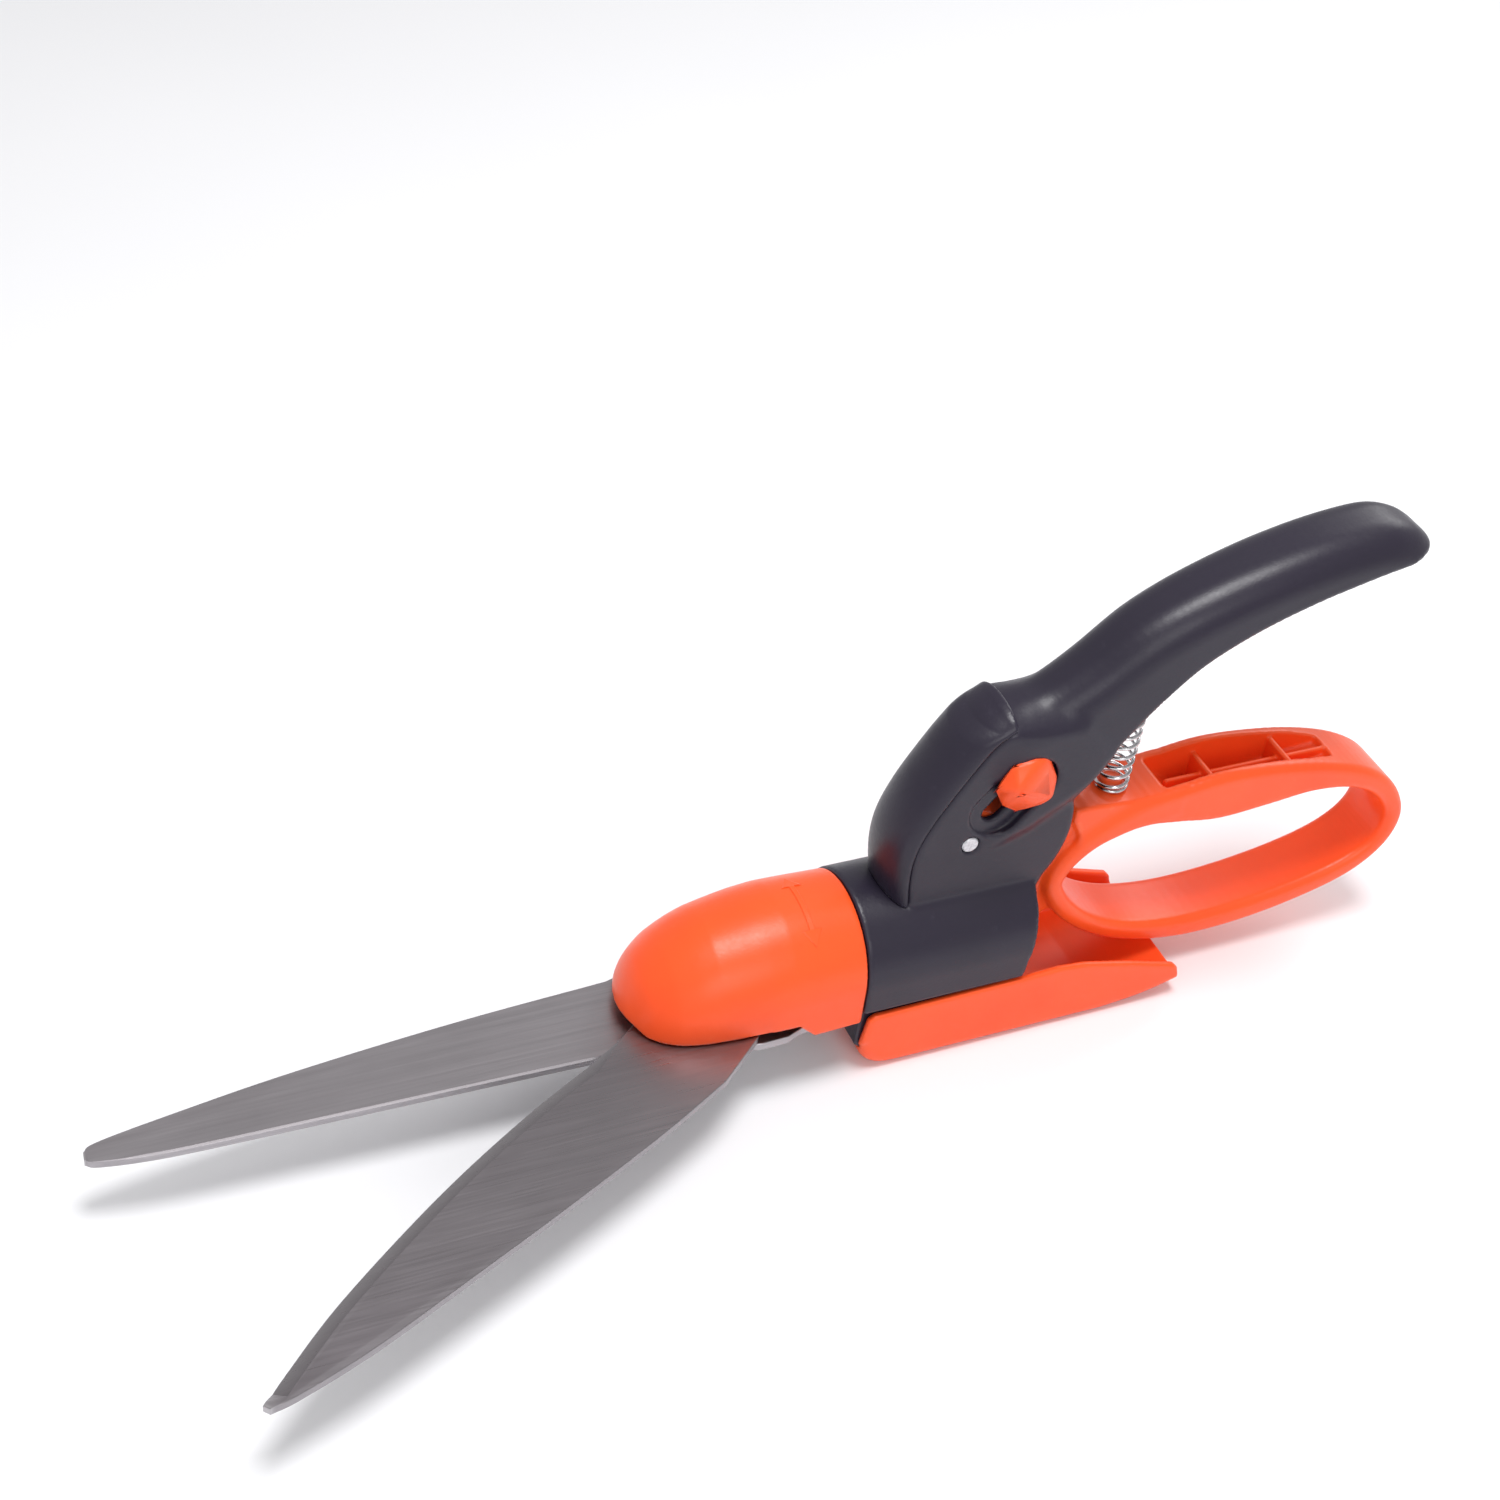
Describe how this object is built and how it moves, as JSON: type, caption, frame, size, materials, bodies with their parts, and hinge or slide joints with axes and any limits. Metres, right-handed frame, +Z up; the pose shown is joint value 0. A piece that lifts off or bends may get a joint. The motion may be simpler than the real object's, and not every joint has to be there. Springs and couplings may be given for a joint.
{
  "type": "grass shears",
  "caption": "One-hand grass shears with a turning domed head, scissor blades, a sprung finger loop under a curved handle, a thumb lock and a flat skid.",
  "frame": {"origin": "on the skid's flat underside, straight below the axis that the head turns about", "axes": "+X along the tool to the blade tips, +Y to the user's left, +Z up, away from the skid's flat underside"},
  "size_m": [0.3489, 0.101, 0.1356],
  "materials": {
    "dark_plastic": "satin moulded plastic, very dark blue-grey",
    "orange_plastic": "satin moulded plastic, bright orange-red",
    "blade_steel": "ground along the blade",
    "plated_steel": "plated",
    "spring_steel": "bright wire"
  },
  "bodies": {
    "root": {"body_housing": "dark_plastic", "front_cover": "dark_plastic", "skid": "orange_plastic", "skid_screw_1": "plated_steel", "skid_screw_2": "plated_steel", "skid_screw_3": "plated_steel", "skid_screw_4": "plated_steel", "pivot_pin": "plated_steel", "detent_ball": "plated_steel", "detent_spring": "spring_steel", "return_spring": "spring_steel"},
    "lever": {"trigger_lever": "orange_plastic", "rod_pin": "plated_steel"},
    "rod": {"pull_rod": "plated_steel"},
    "head": {"nose_dome": "orange_plastic", "fixed_blade": "blade_steel", "head_carrier": "dark_plastic", "blade_screw_1": "plated_steel", "blade_screw_2": "plated_steel", "retaining_ring": "plated_steel", "pivot_bolt": "plated_steel", "pivot_locknut": "plated_steel", "pivot_washer": "plated_steel"},
    "slider": {"drive_slider": "plated_steel", "drive_pin": "plated_steel"},
    "blade": {"moving_blade": "blade_steel", "pivot_bush": "plated_steel"},
    "lock": {"lock_button": "orange_plastic", "lock_crossbar": "plated_steel"}
  },
  "joints": [
    {"name": "lever_squeeze", "type": "hinge", "parent": "root", "child": "lever", "pos_m": [0.0203, 0, 0.062], "axis": [0, 1, 0], "range_deg": [0, 16], "stiffness_Nm_per_rad": 4, "springref_deg": -17.19, "deforming": ["return_spring"]},
    {"name": "rod_pull", "type": "slide", "parent": "root", "child": "rod", "axis": [-1, 0, 0], "range_m": [0, 0.0093]},
    {"name": "head_turn", "type": "hinge", "parent": "root", "child": "head", "pos_m": [0.047, 0, 0.0286], "axis": [1, 0, 0], "continuous": true},
    {"name": "slider_drive", "type": "slide", "parent": "head", "child": "slider", "axis": [-1, 0, 0], "range_m": [0, 0.0093]},
    {"name": "blade_swing", "type": "hinge", "parent": "head", "child": "blade", "pos_m": [0.0773, 0, 0.021], "axis": [0, 0, -1], "range_deg": [0, 31.1]},
    {"name": "lock_slide", "type": "slide", "parent": "root", "child": "lock", "axis": [0.6402, 0, -0.7682], "range_m": [0, 0.009]}
  ],
  "couplings": [
    {"joint": "rod_pull", "follows": "lever_squeeze", "m_per_rad": 0.032967},
    {"joint": "slider_drive", "follows": "lever_squeeze", "m_per_rad": 0.032967},
    {"joint": "blade_swing", "follows": "lever_squeeze", "ratio": 1.9375}
  ]
}
